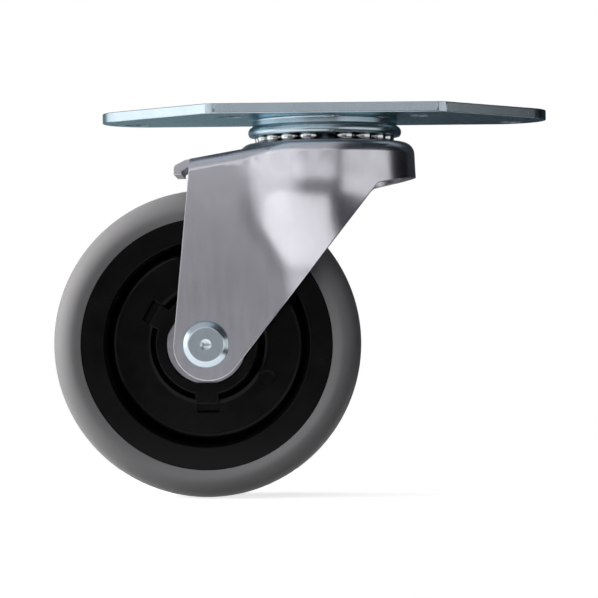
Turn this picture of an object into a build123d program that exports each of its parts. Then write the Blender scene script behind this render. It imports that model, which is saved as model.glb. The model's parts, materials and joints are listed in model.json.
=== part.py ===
from build123d import *
from math import asin, cos, degrees, radians, sin, sqrt, tan
import os

# Swivel castor with a corner plate, a pressed steel fork and a rubber-tyred wheel.
# Millimetres. The origin is on the swivel axis at the plate's top face, +Z is up,
# and the wheel trails towards -X. The near side is -Y, the far side +Y.

os.makedirs("parts", exist_ok=True)

# Overall sizes
wheel_radius = 49.5
wheel_trail = 38.3
wheel_top_drop = 25.6

# Upper ball row, between the plate and the fork: one ball short of a full circle, so its
# balls stand close together with one wider gap, which has run round to the near side
upper_ball_radius = 3.175
upper_ball_count = 18
upper_ball_gap = 33.6
upper_ball_gap_turn = 1.5
upper_pitch_radius = 19.4
upper_ball_drop = 9.3
race_clearance = 0.05

# Corner mounting plate: a short near side, a long far side and two 45 degree sides
plate_thickness = 3.2
plate_short_side = 73.0
plate_near_reach = 33.0
plate_far_margin = 1.25
plate_side_angle = 45.0
plate_tip_radius = 16.2
plate_near_radius = 5.0
plate_edge_round = 0.3
bolt_hole_radius = 4.15
near_hole_x = 30.1
near_hole_y = -17.2
far_hole_x = 61.4
far_hole_y = 15.6

# Raceway boss pressed down from the plate: widths beyond the ball row's pitch circle,
# and heights above the balls' centres
boss_out = 3.9
boss_root_radius = 0.6
race_rim_out = 5.35
race_rim_rise = 1.9
race_lip_out = 4.9
race_lip_rise = 0.7
race_crease_rise = 3.8
race_crease_depth = 0.25
race_recess_out = 1.2
race_recess_draft = 0.7
centre_dish_in = 4.6
centre_dish_draft = 1.2
centre_dish_depth = 5.6
boss_patch_margin = 0.65

# Kingpin rivet
kingpin_radius = 6.0
kingpin_shoulder_radius = 7.5
kingpin_fit = 0.05
kingpin_top_head_radius = 10.0
kingpin_top_head_height = 4.2
kingpin_top_head_wall = 1.6
kingpin_bottom_head_radius = 8.3
kingpin_bottom_head_height = 3.0
kingpin_head_bevel = 1.2

# Pressed fork
fork_sheet = 2.6
leg_gap = 1.6
crown_drop = 1.4
crown_bend_radius = 4.0
roof_angle = 10.0
roof_start_x = -12.0
roof_blend_radius = 30.0
skirt_top_out = 8.9
skirt_flare = 1.2
skirt_straight_drop = 14.0
waist_radius = 23.6
waist_rise = 23.0
waist_ease = 0.5
flare_blend_radius = 14.0
leg_end_radius = 11.0
leg_end_ahead = 0.7
leg_end_drop = 0.5
rear_edge_angle = 5.5
front_edge_angle = 38.0
skirt_corner_drop = 13.8
skirt_front_drop = 11.4
skirt_corner_radius = 3.0
crown_hole_gap = 1.7
crown_lip_drop = 1.4
crown_lip_width = 0.9
crown_lip_round = 0.5
crown_flat_drop = 1.2
crown_dome_drop = 0.2
crown_dome_inset = 0.5
form_margin = 6.0

# Turned-down lip at the rear of the fork's roof
lip_half_width = 14.2
lip_break_back = 6.3
lip_rear_back = 10.0
lip_shoulder_height = 2.8
lip_tyre_gap = 5.4
lip_bend_radius = 1.6

# Lower ball row and the cup that carries it
lower_ball_radius = 2.38
lower_ball_count = 16
lower_pitch_radius = 12.4
cup_sheet = 2.2
cup_floor_drop = 0.77
cup_rim_drop = 0.37

# Axle rivet
axle_radius = 4.0
axle_fit = 0.05
axle_head_radius = 7.4
axle_head_flat_radius = 5.7
axle_head_height = 2.6
axle_head_wall = 1.0
axle_dimple_radius = 1.8
axle_dimple_depth = 0.35

# Hub ball bearings: the balls and the gap between the rings are shares of the section
bearing_bore_radius = 5.0
bearing_outer_radius = 13.0
bearing_width = 8.0
bearing_land_share = 0.2125
bearing_ball_share = 0.2975
bearing_ball_count = 7
bearing_clearance = 0.03
bearing_chamfer = 0.4
cage_half_wall = 0.9
cage_back = 2.9
cage_front = 1.2
shield_thickness = 0.35
shield_inset = 0.4
shield_gap = 0.25

# Wheel core
hub_half_width = 15.5
hub_wall = 3.0
hub_shoulder = 1.6
web_half_thickness = 3.0
web_root_flare = 1.4
rim_setback = 1.9
rim_face_width = 7.2
rim_wall_draft = 1.8
rim_edge_round = 0.5
web_fillet_radius = 2.6
claw_width = 7.2
claw_length = 2.9
claw_grip = 0.8
claw_count = 3
claw_first_angle = -90.0
claw_clearance = 0.05
pocket_length = 3.2
pocket_depth = 3.5
mark_radius = 2.4
mark_offset = 3.2
mark_angle = -31.0
mark_depth = 0.3
rim_rib_width = 8.0
rim_rib_height = 2.5

# Tyre: how far its widest line, shoulder and tread edge lie inside the tread's crown
tyre_depth = 9.35
tyre_bulge = 1.2
tyre_side_step = 0.6
tyre_bulge_drop = 6.2
shoulder_drop = 2.8
shoulder_half_width = 12.9
tread_edge_drop = 0.7
tread_half_width = 8.6

# Places that follow from these sizes
axle_z = -wheel_top_drop - wheel_radius
upper_ball_z = -upper_ball_drop
boss_radius = upper_pitch_radius + boss_out
race_rim_radius = upper_pitch_radius + race_rim_out
race_rim_z = upper_ball_z + race_rim_rise
race_lip_radius = upper_pitch_radius + race_lip_out
race_lip_z = upper_ball_z + race_lip_rise
race_crease_z = upper_ball_z + race_crease_rise
race_recess_radius = upper_pitch_radius + race_recess_out
centre_dish_radius = upper_pitch_radius - centre_dish_in
boss_patch_radius = race_rim_radius + boss_patch_margin
plate_far_reach = race_rim_radius + plate_far_margin
rim_half_width = hub_half_width - rim_setback
leg_half_width = hub_half_width + leg_gap + fork_sheet
core_radius = wheel_radius - tyre_depth
rim_face_radius = core_radius - rim_face_width
rim_wall_foot_radius = rim_face_radius - rim_wall_draft
hub_radius = bearing_outer_radius + hub_wall
hub_shoulder_radius = bearing_outer_radius - hub_shoulder
web_root_radius = hub_radius + web_root_flare
claw_grip_radius = bearing_outer_radius - claw_grip
claw_reach = hub_radius + claw_length
pocket_reach = claw_reach + pocket_length
mark_pitch_radius = claw_reach + mark_offset
bearing_pitch_radius = (bearing_bore_radius + bearing_outer_radius) / 2
bearing_section = bearing_outer_radius - bearing_bore_radius
bearing_land = bearing_land_share * bearing_section
bearing_ball_radius = bearing_ball_share * bearing_section
inner_ring_radius = bearing_pitch_radius - bearing_land
outer_ring_bore_radius = bearing_pitch_radius + bearing_land
crown_z = upper_ball_z - crown_drop
crown_lip_z = upper_ball_z - crown_lip_drop
crown_flat_z = upper_ball_z - crown_flat_drop
crown_hole_radius = kingpin_shoulder_radius + crown_hole_gap
skirt_top_radius = upper_pitch_radius + skirt_top_out
skirt_radius = skirt_top_radius + skirt_flare
skirt_straight_z = crown_z - skirt_straight_drop
skirt_corner_z = crown_z - skirt_corner_drop
skirt_front_z = crown_z - skirt_front_drop
waist_z = axle_z + waist_rise
leg_end_x = leg_end_ahead - wheel_trail
leg_end_z = axle_z - leg_end_drop
form_depth = leg_end_radius + form_margin - leg_end_z
form_rear_x = leg_end_x - leg_end_radius - form_margin
form_front_x = skirt_radius + form_margin

# Slack allowed when faces, edges and corners are picked by where they are
tolerance = 0.01

axle_centre = (-wheel_trail, 0, axle_z)
axle_axis = Axis(axle_centre, (0, 1, 0))
axle_plane = Plane(axle_centre)


def half_chord(radius, rise):
    """Half the width of a circle at a given height above its centre."""
    return sqrt(radius**2 - rise**2)


def cap_radius(half_width, rise):
    """Radius of the ball that a shallow dome or dimple is cut from."""
    return (half_width**2 + rise**2) / (2 * rise)


def cap_angle(half_width, rise):
    """Angle at the ball's centre between a dome's top and its rim."""
    return degrees(asin(half_width / cap_radius(half_width, rise)))


def finish_part(builder, name):
    """Label a piece and write it to its own file."""
    builder.part.label = name
    export_step(builder.part, f"parts/{name}.step")


# Top plate
plate_half_near = plate_short_side / 2
plate_width = plate_near_reach + plate_far_reach
plate_half_far = plate_half_near + plate_width / tan(radians(plate_side_angle))

upper_groove_radius = upper_ball_radius + race_clearance
plate_groove_half = half_chord(upper_groove_radius, race_lip_z - upper_ball_z)
recess_floor_z = upper_ball_z + upper_groove_radius + plate_thickness

with BuildPart() as top_plate:
    with BuildSketch(Plane.XY.offset(-plate_thickness)):
        with BuildLine():
            Polyline(
                (-plate_half_near, -plate_near_reach),
                (plate_half_near, -plate_near_reach),
                (plate_half_far, plate_far_reach),
                (-plate_half_far, plate_far_reach),
                close=True,
            )
        plate_face = make_face()
        fillet(plate_face.vertices().group_by(Axis.Y)[-1], radius=plate_tip_radius)
        fillet(plate_face.vertices().group_by(Axis.Y)[0], radius=plate_near_radius)
        with Locations(
            (near_hole_x, near_hole_y),
            (-near_hole_x, near_hole_y),
            (far_hole_x, far_hole_y),
            (-far_hole_x, far_hole_y),
        ):
            Circle(bolt_hole_radius, mode=Mode.SUBTRACT)
        Circle(race_rim_radius, mode=Mode.SUBTRACT)
    extrude(amount=plate_thickness)
    with BuildSketch(Plane.XZ):
        with BuildLine():
            Polyline(
                (plate_groove_half + upper_pitch_radius, race_lip_z),
                (race_lip_radius, race_lip_z),
            )
            ThreePointArc(
                (race_lip_radius, race_lip_z),
                (race_rim_radius, race_rim_z),
                (boss_radius + race_crease_depth, race_crease_z),
            )
            Polyline(
                (boss_radius + race_crease_depth, race_crease_z),
                (boss_radius, race_crease_z + race_crease_depth),
                (boss_radius, -plate_thickness - boss_root_radius),
            )
            RadiusArc(
                (boss_radius, -plate_thickness - boss_root_radius),
                (boss_radius + boss_root_radius, -plate_thickness),
                boss_root_radius,
            )
            Polyline(
                (boss_radius + boss_root_radius, -plate_thickness),
                (boss_patch_radius, -plate_thickness),
                (boss_patch_radius, 0),
                (race_recess_radius, 0),
                (race_recess_radius - race_recess_draft, recess_floor_z),
                (centre_dish_radius, recess_floor_z),
                (centre_dish_radius - centre_dish_draft, -centre_dish_depth),
                (kingpin_radius + kingpin_fit, -centre_dish_depth),
                (kingpin_radius + kingpin_fit, race_lip_z),
                (upper_pitch_radius - plate_groove_half, race_lip_z),
            )
            ThreePointArc(
                (upper_pitch_radius - plate_groove_half, race_lip_z),
                (upper_pitch_radius, upper_ball_z + upper_groove_radius),
                (upper_pitch_radius + plate_groove_half, race_lip_z),
            )
        make_face()
    revolve(axis=Axis.Z)
    broad_faces = top_plate.faces().filter_by(Plane.XY).sort_by(SortBy.AREA)[-2:]
    outline_edges = [edge for face in broad_faces for edge in face.outer_wire().edges()]
    fillet(outline_edges, radius=plate_edge_round)
finish_part(top_plate, "top_plate")


# Kingpin: a shouldered rivet, closed over the plate's dish and under the lower cup
crown_flat_back_z = crown_flat_z - fork_sheet
lower_ball_z = crown_flat_back_z - lower_ball_radius - race_clearance
cup_floor_z = lower_ball_z - cup_floor_drop
cup_rim_z = lower_ball_z - cup_rim_drop
cup_bottom_z = cup_floor_z - cup_sheet
top_head_wall_z = kingpin_top_head_wall - centre_dish_depth
top_head_z = kingpin_top_head_height - centre_dish_depth
bottom_head_z = cup_bottom_z - kingpin_bottom_head_height
top_dome_rise = kingpin_top_head_height - kingpin_top_head_wall
top_dome_radius = cap_radius(kingpin_top_head_radius, top_dome_rise)
top_dome_angle = cap_angle(kingpin_top_head_radius, top_dome_rise)

with BuildPart() as kingpin:
    with BuildSketch(Plane.XZ):
        with BuildLine():
            Polyline(
                (0, top_head_z),
                (0, bottom_head_z),
                (kingpin_bottom_head_radius - kingpin_head_bevel, bottom_head_z),
                (kingpin_bottom_head_radius, bottom_head_z + kingpin_head_bevel),
                (kingpin_bottom_head_radius, cup_bottom_z),
                (kingpin_radius, cup_bottom_z),
                (kingpin_radius, cup_floor_z),
                (kingpin_shoulder_radius, cup_floor_z),
                (kingpin_shoulder_radius, race_lip_z),
                (kingpin_radius, race_lip_z),
                (kingpin_radius, -centre_dish_depth),
                (kingpin_top_head_radius, -centre_dish_depth),
                (kingpin_top_head_radius, top_head_wall_z),
            )
            CenterArc(
                (0, top_head_z - top_dome_radius),
                top_dome_radius,
                90 - top_dome_angle,
                top_dome_angle,
            )
        make_face()
    revolve(axis=Axis.Z)
finish_part(kingpin, "kingpin")


# Fork: one pressed sheet with two legs, a round crown and a turned-down rear lip
def roof_height(x):
    """Height of the fork's top sheet along its length."""
    return crown_z + (x - roof_start_x) * tan(radians(roof_angle))


def press_form(inset):
    """The solid form that the sheet is drawn over, inset from the fork's outside."""
    side_half = leg_half_width - inset
    roof_drop = inset / cos(radians(roof_angle))
    with BuildPart() as form:
        with BuildSketch(Plane.XZ):
            with BuildLine():
                Line((0, 0), (skirt_top_radius - inset, 0))
                Line((skirt_top_radius - inset, 0), (skirt_radius - inset, skirt_straight_z))
                Spline(
                    (skirt_radius - inset, skirt_straight_z),
                    (waist_radius - inset, waist_z),
                    tangents=[(0, -1), (0, -1)],
                    tangent_scalars=[waist_ease, waist_ease],
                )
                Line((waist_radius - inset, waist_z), (waist_radius - inset, -form_depth))
                Line((waist_radius - inset, -form_depth), (0, -form_depth))
                Line((0, -form_depth), (0, 0))
            make_face()
        revolve(axis=Axis.Z)
        with BuildSketch(Plane.XY.offset(-form_depth)):
            with Locations((form_rear_x / 2, 0)):
                Rectangle(-form_rear_x, 2 * side_half)
        extrude(amount=form_depth)
        flare_edges = [
            edge
            for edge in form.edges()
            if abs(abs(edge.center().Y) - side_half) < tolerance
            and edge.bounding_box().size.Z > fork_sheet
            and edge.center().X > -skirt_radius
        ]
        fillet(flare_edges, radius=flare_blend_radius + inset)
        with BuildSketch(Plane.XZ):
            with BuildLine():
                Polyline(
                    (form_rear_x, -form_depth),
                    (form_front_x, -form_depth),
                    (form_front_x, crown_z - inset),
                    (roof_start_x, crown_z - inset),
                    (form_rear_x, roof_height(form_rear_x) - roof_drop),
                    close=True,
                )
            side_face = make_face()
            roof_corner = [v for v in side_face.vertices() if abs(v.X - roof_start_x) < tolerance]
            fillet(roof_corner, radius=roof_blend_radius)
        extrude(amount=form_front_x, both=True, mode=Mode.INTERSECT)
        top_faces = [f for f in form.faces() if f.normal_at().Z > cos(radians(2 * roof_angle))]
        top_edges = [
            edge
            for face in top_faces
            for edge in face.edges()
            if abs(edge.center().Y) > tolerance or edge.center().X > 0
        ]
        fillet(top_edges, radius=crown_bend_radius - inset)
    return form.part


fork_outside = press_form(0)
fork_inside = press_form(fork_sheet)

front_run = (sin(radians(front_edge_angle)), cos(radians(front_edge_angle)))
rear_run = (sin(radians(rear_edge_angle)), cos(radians(rear_edge_angle)))
front_tangent = (
    leg_end_x + leg_end_radius * front_run[1],
    leg_end_z - leg_end_radius * front_run[0],
)
rear_tangent = (
    leg_end_x - leg_end_radius * rear_run[1],
    leg_end_z + leg_end_radius * rear_run[0],
)
leg_bottom = (leg_end_x, leg_end_z - leg_end_radius)
front_length = (skirt_corner_z - front_tangent[1]) / front_run[1]
rear_length = -rear_tangent[1] / rear_run[1]
skirt_corner = (front_tangent[0] + front_length * front_run[0], skirt_corner_z)
rear_top = (rear_tangent[0] + rear_length * rear_run[0], 0)

lip_break_x = -wheel_trail - lip_break_back
lip_rear_x = -wheel_trail - lip_rear_back
lip_bottom_z = axle_z + half_chord(wheel_radius + lip_tyre_gap, lip_rear_back)

crown_groove_rise = crown_lip_z - crown_lip_round - upper_ball_z
crown_groove_half = half_chord(upper_groove_radius, crown_groove_rise)
groove_back_radius = upper_groove_radius + fork_sheet
crown_back_z = crown_z - fork_sheet + crown_dome_drop / 2
groove_outer_half = half_chord(groove_back_radius, crown_back_z - upper_ball_z)
groove_inner_half = half_chord(groove_back_radius, crown_flat_back_z - upper_ball_z)
dome_radius = skirt_top_radius - crown_dome_inset
dome_top_z = crown_z - crown_dome_drop
dome_edge_z = dome_top_z - crown_bend_radius
dome_inner_radius = skirt_top_radius - fork_sheet + crown_dome_drop / 2

with BuildPart() as fork:
    add(fork_outside)
    add(fork_inside, mode=Mode.SUBTRACT)
    with BuildSketch(Plane.XZ):
        with BuildLine():
            Line(rear_top, rear_tangent)
            ThreePointArc(rear_tangent, leg_bottom, front_tangent)
            FilletPolyline(
                front_tangent,
                skirt_corner,
                (skirt_radius, skirt_front_z),
                radius=skirt_corner_radius,
            )
            Polyline(
                (skirt_radius, skirt_front_z),
                (form_front_x, skirt_front_z),
                (form_front_x, 0),
                rear_top,
            )
        make_face()
    extrude(amount=form_front_x, both=True, mode=Mode.INTERSECT)
    # The crown is opened, then closed again by the pressed raceway
    with BuildSketch(Plane.XY.offset(crown_z - crown_bend_radius - fork_sheet)):
        Circle(dome_inner_radius)
    extrude(amount=-crown_z, mode=Mode.SUBTRACT)
    with BuildSketch(Plane.XZ):
        with BuildLine():
            ThreePointArc(
                (upper_pitch_radius - crown_groove_half, upper_ball_z + crown_groove_rise),
                (upper_pitch_radius, upper_ball_z - upper_groove_radius),
                (upper_pitch_radius + crown_groove_half, upper_ball_z + crown_groove_rise),
            )
            Polyline(
                (upper_pitch_radius + crown_groove_half, upper_ball_z + crown_groove_rise),
                (upper_pitch_radius + crown_groove_half + crown_lip_width / 2, crown_lip_z),
                (upper_pitch_radius + crown_groove_half + crown_lip_width, crown_lip_z),
                (dome_radius - crown_bend_radius, dome_top_z),
            )
            RadiusArc(
                (dome_radius - crown_bend_radius, dome_top_z),
                (dome_radius, dome_edge_z),
                crown_bend_radius,
            )
            Polyline(
                (dome_radius, dome_edge_z),
                (dome_inner_radius, dome_edge_z),
                (dome_inner_radius, crown_back_z),
                (upper_pitch_radius + groove_outer_half, crown_back_z),
            )
            ThreePointArc(
                (upper_pitch_radius + groove_outer_half, crown_back_z),
                (upper_pitch_radius, upper_ball_z - groove_back_radius),
                (upper_pitch_radius - groove_inner_half, crown_flat_back_z),
            )
            Polyline(
                (upper_pitch_radius - groove_inner_half, crown_flat_back_z),
                (crown_hole_radius, crown_flat_back_z),
                (crown_hole_radius, crown_flat_z),
                (upper_pitch_radius - crown_groove_half - crown_lip_width / 2, crown_flat_z),
                (upper_pitch_radius - crown_groove_half, upper_ball_z + crown_groove_rise),
            )
        make_face()
    revolve(axis=Axis.Z)
    # Rear lip
    with BuildSketch(Plane.XZ):
        with BuildLine():
            FilletPolyline(
                (-wheel_trail, roof_height(-wheel_trail)),
                (lip_break_x, roof_height(lip_break_x)),
                (lip_rear_x, lip_bottom_z + lip_shoulder_height),
                (lip_rear_x, lip_bottom_z),
                radius=lip_bend_radius,
            )
            offset(amount=fork_sheet, side=Side.LEFT)
        make_face()
    extrude(amount=lip_half_width, both=True)
    # Holes for the axle rivet
    with BuildSketch(Plane.XZ.offset(-form_front_x)):
        with Locations((-wheel_trail, axle_z)):
            Circle(axle_radius + axle_fit)
    extrude(amount=2 * form_front_x, mode=Mode.SUBTRACT)
finish_part(fork, "fork")


# Balls of the two swivel rows
near_side_angle = -90
with BuildPart() as upper_balls:
    with Locations(Plane.XY.offset(upper_ball_z)):
        with PolarLocations(
            upper_pitch_radius,
            upper_ball_count,
            start_angle=near_side_angle + upper_ball_gap_turn + upper_ball_gap / 2,
            angular_range=360 - upper_ball_gap,
            endpoint=True,
        ):
            Sphere(upper_ball_radius)
finish_part(upper_balls, "upper_balls")

with BuildPart() as lower_balls:
    with Locations(Plane.XY.offset(lower_ball_z)):
        with PolarLocations(lower_pitch_radius, lower_ball_count, start_angle=near_side_angle):
            Sphere(lower_ball_radius)
finish_part(lower_balls, "lower_balls")


# Lower race cup
lower_groove_radius = lower_ball_radius + race_clearance
cup_back_radius = lower_groove_radius + cup_sheet
cup_inner_groove = lower_pitch_radius - half_chord(lower_groove_radius, cup_floor_z - lower_ball_z)
cup_rim_inner = lower_pitch_radius + half_chord(lower_groove_radius, cup_rim_z - lower_ball_z)
cup_rim_outer = lower_pitch_radius + half_chord(cup_back_radius, cup_rim_z - lower_ball_z)
cup_back_inner = lower_pitch_radius - half_chord(cup_back_radius, cup_bottom_z - lower_ball_z)

with BuildPart() as lower_race:
    with BuildSketch(Plane.XZ):
        with BuildLine():
            Polyline(
                (cup_back_inner, cup_bottom_z),
                (kingpin_radius + kingpin_fit, cup_bottom_z),
                (kingpin_radius + kingpin_fit, cup_floor_z),
                (cup_inner_groove, cup_floor_z),
            )
            ThreePointArc(
                (cup_inner_groove, cup_floor_z),
                (lower_pitch_radius, lower_ball_z - lower_groove_radius),
                (cup_rim_inner, cup_rim_z),
            )
            Line((cup_rim_inner, cup_rim_z), (cup_rim_outer, cup_rim_z))
            ThreePointArc(
                (cup_rim_outer, cup_rim_z),
                (lower_pitch_radius, lower_ball_z - cup_back_radius),
                (cup_back_inner, cup_bottom_z),
            )
        make_face()
    revolve(axis=Axis.Z)
finish_part(lower_race, "lower_race")


# Axle rivet, headed on both legs, and the distance tube between the legs
head_outer_y = leg_half_width + axle_head_height
dimple_ball_radius = cap_radius(axle_dimple_radius, axle_dimple_depth)
dimple_angle = cap_angle(axle_dimple_radius, axle_dimple_depth)
with BuildPart() as axle_rivet:
    with BuildSketch(axle_plane):
        with BuildLine():
            Polyline(
                (0, 0),
                (axle_radius, 0),
                (axle_radius, leg_half_width),
                (axle_head_radius, leg_half_width),
                (axle_head_radius, leg_half_width + axle_head_wall),
                (axle_head_flat_radius, head_outer_y),
                (axle_dimple_radius, head_outer_y),
            )
            CenterArc(
                (0, head_outer_y + dimple_ball_radius - axle_dimple_depth),
                dimple_ball_radius,
                -90,
                dimple_angle,
            )
            Line((0, head_outer_y - axle_dimple_depth), (0, 0))
        make_face()
        mirror(about=Plane.XZ)
    revolve(axis=axle_axis)
finish_part(axle_rivet, "axle_rivet")

tube_half_length = leg_half_width - fork_sheet
with BuildPart() as distance_tube:
    with BuildSketch(Plane(axle_centre, z_dir=(0, 1, 0))):
        Circle(bearing_bore_radius - bearing_clearance)
        Circle(axle_radius + axle_fit, mode=Mode.SUBTRACT)
    extrude(amount=tube_half_length, both=True)
finish_part(distance_tube, "distance_tube")


# Wheel core: rim, web and hub moulded in one, with claws that hold the bearings
bearing_inner_face = rim_half_width - bearing_width


def claw_frame(side, angle):
    """Plane on the wheel's mid-plane, x outwards along a claw and z out of its side."""
    outward = Vector(cos(radians(angle)), 0, sin(radians(angle)))
    return Plane(axle_centre, x_dir=outward, z_dir=(0, side, 0))


with BuildPart() as wheel_core:
    with BuildSketch(axle_plane):
        with BuildLine():
            Polyline(
                (hub_shoulder_radius, 0),
                (hub_shoulder_radius, bearing_inner_face),
                (bearing_outer_radius, bearing_inner_face),
                (bearing_outer_radius, hub_half_width),
                (hub_radius, hub_half_width),
                (web_root_radius, web_half_thickness),
                (rim_wall_foot_radius, web_half_thickness),
                (rim_face_radius, rim_half_width),
                (core_radius, rim_half_width),
                (core_radius, rim_rib_width / 2),
                (core_radius + rim_rib_height, rim_rib_width / 2),
                (core_radius + rim_rib_height, 0),
                close=True,
            )
        core_face = make_face()
        web_corners = [
            v
            for v in core_face.vertices()
            if abs(v.Y - web_half_thickness) < tolerance and v.X < core_radius
        ]
        fillet(web_corners, radius=web_fillet_radius)
        face_corners = [v for v in core_face.vertices() if abs(v.X - rim_face_radius) < tolerance]
        fillet(face_corners, radius=rim_edge_round)
        mirror(about=Plane.XZ)
    revolve(axis=axle_axis)
    for side in (-1, 1):
        for turn in range(claw_count):
            claw_angle = side * -claw_first_angle + turn * 360 / claw_count
            with BuildSketch(claw_frame(side, claw_angle).offset(web_half_thickness)):
                with Locations(((bearing_outer_radius + claw_reach) / 2, 0)):
                    Rectangle(claw_reach - bearing_outer_radius, claw_width)
            extrude(amount=hub_half_width - web_half_thickness)
            with BuildSketch(claw_frame(side, claw_angle).offset(rim_half_width + claw_clearance)):
                with Locations(((claw_grip_radius + claw_reach) / 2, 0)):
                    Rectangle(claw_reach - claw_grip_radius, claw_width)
            extrude(amount=hub_half_width - rim_half_width - claw_clearance)
            with BuildSketch(claw_frame(side, claw_angle).offset(hub_half_width)):
                with Locations(((claw_reach + pocket_reach) / 2, 0)):
                    Rectangle(pocket_reach - claw_reach, claw_width)
            extrude(
                amount=web_half_thickness - pocket_depth - hub_half_width,
                mode=Mode.SUBTRACT,
            )
    # The trace of a round mould insert, on the near side alone
    with BuildSketch(claw_frame(-1, mark_angle).offset(web_half_thickness)):
        with Locations((mark_pitch_radius, 0)):
            Circle(mark_radius)
    extrude(amount=-mark_depth, mode=Mode.SUBTRACT)
finish_part(wheel_core, "wheel_core")


# Tyre, moulded round the core and keyed on its rib
tyre_side_y = rim_half_width + tyre_side_step
with BuildPart() as tyre:
    with BuildSketch(axle_plane):
        with BuildLine():
            Polyline(
                (wheel_radius, 0),
                (core_radius + rim_rib_height, 0),
                (core_radius + rim_rib_height, rim_rib_width / 2),
                (core_radius, rim_rib_width / 2),
                (core_radius, tyre_side_y),
            )
            Spline(
                (wheel_radius, 0),
                (wheel_radius - tread_edge_drop, tread_half_width),
                (wheel_radius - shoulder_drop, shoulder_half_width),
                (wheel_radius - tyre_bulge_drop, rim_half_width + tyre_bulge),
                (core_radius, tyre_side_y),
                tangents=[(0, 1), (-1, -0.3)],
            )
        make_face()
        mirror(about=Plane.XZ)
    revolve(axis=axle_axis)
finish_part(tyre, "tyre")


# Two sealed ball bearings in the hub
ball_groove_radius = bearing_ball_radius + bearing_clearance
bearing_half = bearing_width / 2
inner_groove_half = half_chord(ball_groove_radius, bearing_pitch_radius - inner_ring_radius)
outer_groove_half = half_chord(ball_groove_radius, outer_ring_bore_radius - bearing_pitch_radius)

for side_name, side in (("near", -1), ("far", 1)):
    bearing_y = side * (rim_half_width - bearing_half)
    bearing_plane = Plane((-wheel_trail, bearing_y, axle_z))

    with BuildPart() as inner_ring:
        with BuildSketch(bearing_plane):
            with BuildLine():
                Polyline(
                    (inner_ring_radius, inner_groove_half),
                    (inner_ring_radius, bearing_half - bearing_chamfer),
                    (inner_ring_radius - bearing_chamfer, bearing_half),
                    (bearing_bore_radius, bearing_half),
                    (bearing_bore_radius, -bearing_half),
                    (inner_ring_radius - bearing_chamfer, -bearing_half),
                    (inner_ring_radius, bearing_chamfer - bearing_half),
                    (inner_ring_radius, -inner_groove_half),
                )
                ThreePointArc(
                    (inner_ring_radius, -inner_groove_half),
                    (bearing_pitch_radius - ball_groove_radius, 0),
                    (inner_ring_radius, inner_groove_half),
                )
            make_face()
        revolve(axis=axle_axis)
    finish_part(inner_ring, f"{side_name}_bearing_inner_ring")

    with BuildPart() as outer_ring:
        with BuildSketch(bearing_plane):
            with BuildLine():
                Polyline(
                    (outer_ring_bore_radius, -outer_groove_half),
                    (outer_ring_bore_radius, -bearing_half),
                    (bearing_outer_radius - bearing_chamfer, -bearing_half),
                    (bearing_outer_radius, bearing_chamfer - bearing_half),
                    (bearing_outer_radius, bearing_half - bearing_chamfer),
                    (bearing_outer_radius - bearing_chamfer, bearing_half),
                    (outer_ring_bore_radius, bearing_half),
                    (outer_ring_bore_radius, outer_groove_half),
                )
                ThreePointArc(
                    (outer_ring_bore_radius, outer_groove_half),
                    (bearing_pitch_radius + ball_groove_radius, 0),
                    (outer_ring_bore_radius, -outer_groove_half),
                )
            make_face()
        revolve(axis=axle_axis)
    finish_part(outer_ring, f"{side_name}_bearing_outer_ring")

    ball_frame = Plane((-wheel_trail, bearing_y, axle_z), z_dir=(0, side, 0))
    with BuildPart() as bearing_balls:
        with Locations(ball_frame):
            with PolarLocations(bearing_pitch_radius, bearing_ball_count):
                Sphere(bearing_ball_radius)
    finish_part(bearing_balls, f"{side_name}_bearing_balls")

    with BuildPart() as cage:
        with BuildSketch(ball_frame.offset(-cage_back)):
            Circle(bearing_pitch_radius + cage_half_wall)
            Circle(bearing_pitch_radius - cage_half_wall, mode=Mode.SUBTRACT)
        extrude(amount=cage_back + cage_front)
        with Locations(ball_frame):
            with PolarLocations(bearing_pitch_radius, bearing_ball_count):
                Sphere(ball_groove_radius, mode=Mode.SUBTRACT)
    finish_part(cage, f"{side_name}_bearing_cage")

    with BuildPart() as shield:
        with BuildSketch(ball_frame.offset(bearing_half - shield_inset - shield_thickness)):
            Circle(outer_ring_bore_radius - bearing_clearance)
            Circle(inner_ring_radius + shield_gap, mode=Mode.SUBTRACT)
        extrude(amount=shield_thickness)
    finish_part(shield, f"{side_name}_bearing_shield")
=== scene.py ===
import json
from math import cos, pi, radians, sin, tan

import bmesh
import bpy
import numpy
from bpy.props import (
    FloatProperty,
    FloatVectorProperty,
    IntProperty,
    PointerProperty,
)
from mathutils import Euler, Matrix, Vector
from mathutils.bvhtree import BVHTree
from mathutils.geometry import barycentric_transform
from mathutils.kdtree import KDTree


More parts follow.
